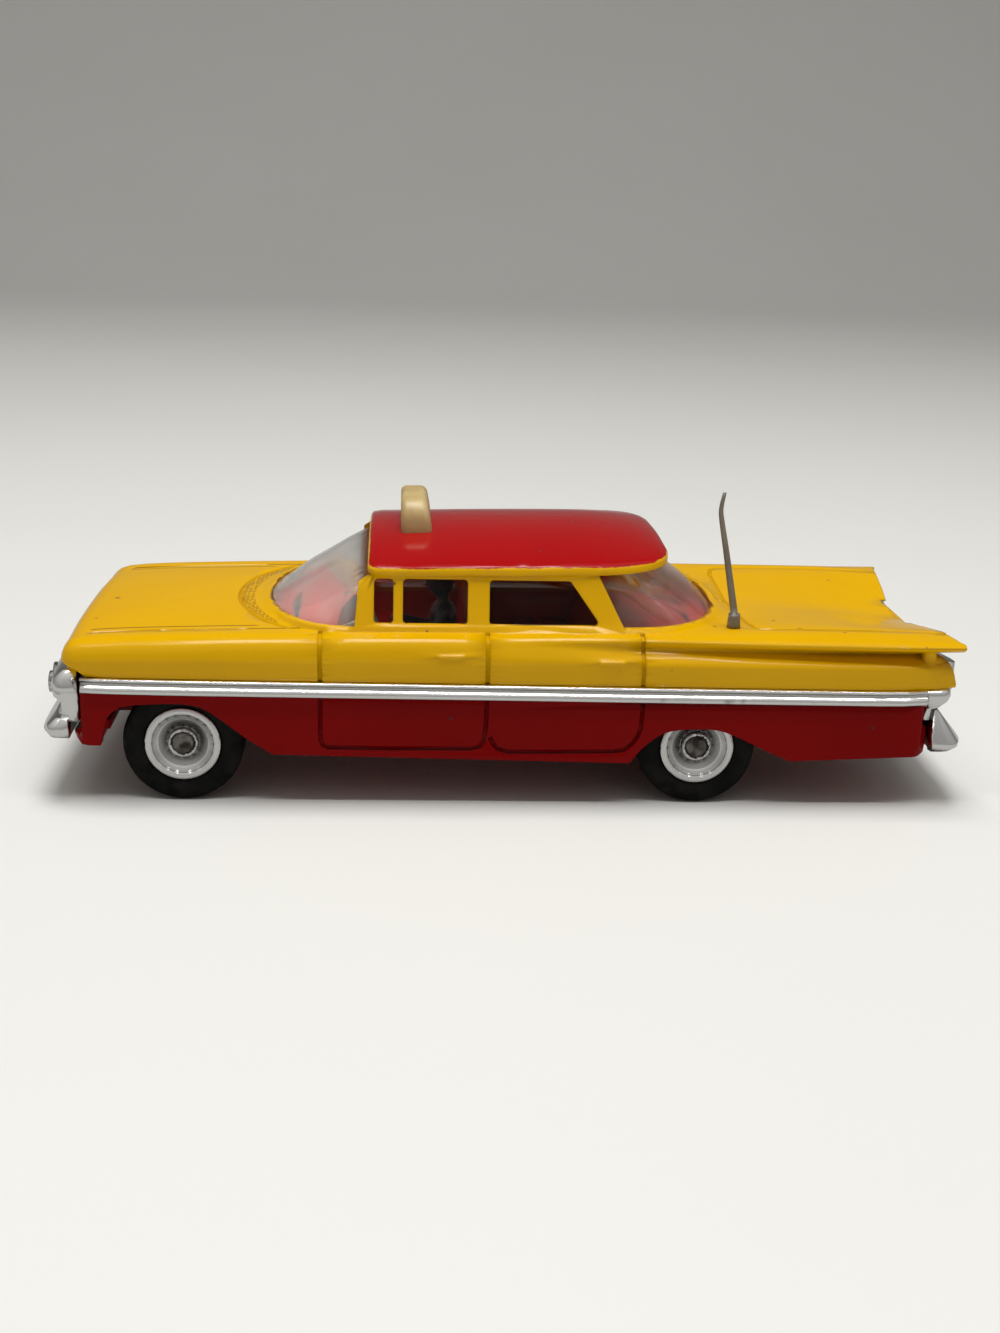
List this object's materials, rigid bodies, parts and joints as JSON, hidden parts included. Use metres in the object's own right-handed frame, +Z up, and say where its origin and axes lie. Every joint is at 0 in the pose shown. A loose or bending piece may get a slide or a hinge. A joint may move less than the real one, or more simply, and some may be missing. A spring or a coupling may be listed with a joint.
{
  "type": "toy taxi",
  "caption": "Die-cast toy saloon taxi with tail fins, plated trim, clear wraparound glazing, a seated driver, a roof sign, an aerial and rolling wheels on sprung axles.",
  "frame": {"origin": "on the ground under the middle of the car's length and width", "axes": "+X forward, +Y to the car's left, +Z up"},
  "size_m": [0.1084, 0.04, 0.0369],
  "materials": {
    "yellow_enamel": "gloss enamel on zinc, roof masked in red",
    "red_enamel": "gloss enamel on zinc",
    "plated": "bright plating",
    "clear": "clear moulded plastic",
    "red_plastic": "moulded, light gloss",
    "grey_plastic": "moulded, soft sheen",
    "blue_plastic": "moulded, dark navy",
    "cream_plastic": "moulded, aged",
    "steel": "bare wire and strip",
    "wheel_disc": "turned, bright",
    "tyre": "moulded rubber, matte"
  },
  "bodies": {
    "body": {"upper_body": "yellow_enamel", "lower_body": "red_enamel", "front_bumper": "plated", "rear_bumper": "plated", "side_trim_left": "plated", "side_trim_right": "plated", "glazing": "clear", "interior": "red_plastic", "steering_wheel": "grey_plastic", "driver": "blue_plastic", "roof_sign": "cream_plastic", "aerial": "grey_plastic", "front_spring": "steel", "rear_spring": "steel"},
    "front_axle_set": {"front_axle": "steel"},
    "rear_axle_set": {"rear_axle": "steel"},
    "wheel_front_left": {"hub_front_left": "wheel_disc", "tyre_front_left": "tyre"},
    "wheel_front_right": {"hub_front_right": "wheel_disc", "tyre_front_right": "tyre"},
    "wheel_rear_left": {"hub_rear_left": "wheel_disc", "tyre_rear_left": "tyre"},
    "wheel_rear_right": {"hub_rear_right": "wheel_disc", "tyre_rear_right": "tyre"}
  },
  "joints": [
    {"name": "front_suspension", "type": "slide", "parent": "body", "child": "front_axle_set", "axis": [0, 0, 1], "range_m": [0, 0.0008], "stiffness_N_per_m": 600, "springref_m": -0.002, "deforming": ["front_spring"]},
    {"name": "front_left_wheel_spin", "type": "hinge", "parent": "front_axle_set", "child": "wheel_front_left", "pos_m": [0.038, 0.015, 0.00695], "axis": [0, 1, 0], "continuous": true},
    {"name": "front_right_wheel_spin", "type": "hinge", "parent": "front_axle_set", "child": "wheel_front_right", "pos_m": [0.038, -0.015, 0.00695], "axis": [0, 1, 0], "continuous": true},
    {"name": "rear_suspension", "type": "slide", "parent": "body", "child": "rear_axle_set", "axis": [0, 0, 1], "range_m": [0, 0.0008], "stiffness_N_per_m": 600, "springref_m": -0.002, "deforming": ["rear_spring"]},
    {"name": "rear_left_wheel_spin", "type": "hinge", "parent": "rear_axle_set", "child": "wheel_rear_left", "pos_m": [-0.022, 0.015, 0.00695], "axis": [0, 1, 0], "continuous": true},
    {"name": "rear_right_wheel_spin", "type": "hinge", "parent": "rear_axle_set", "child": "wheel_rear_right", "pos_m": [-0.022, -0.015, 0.00695], "axis": [0, 1, 0], "continuous": true}
  ]
}
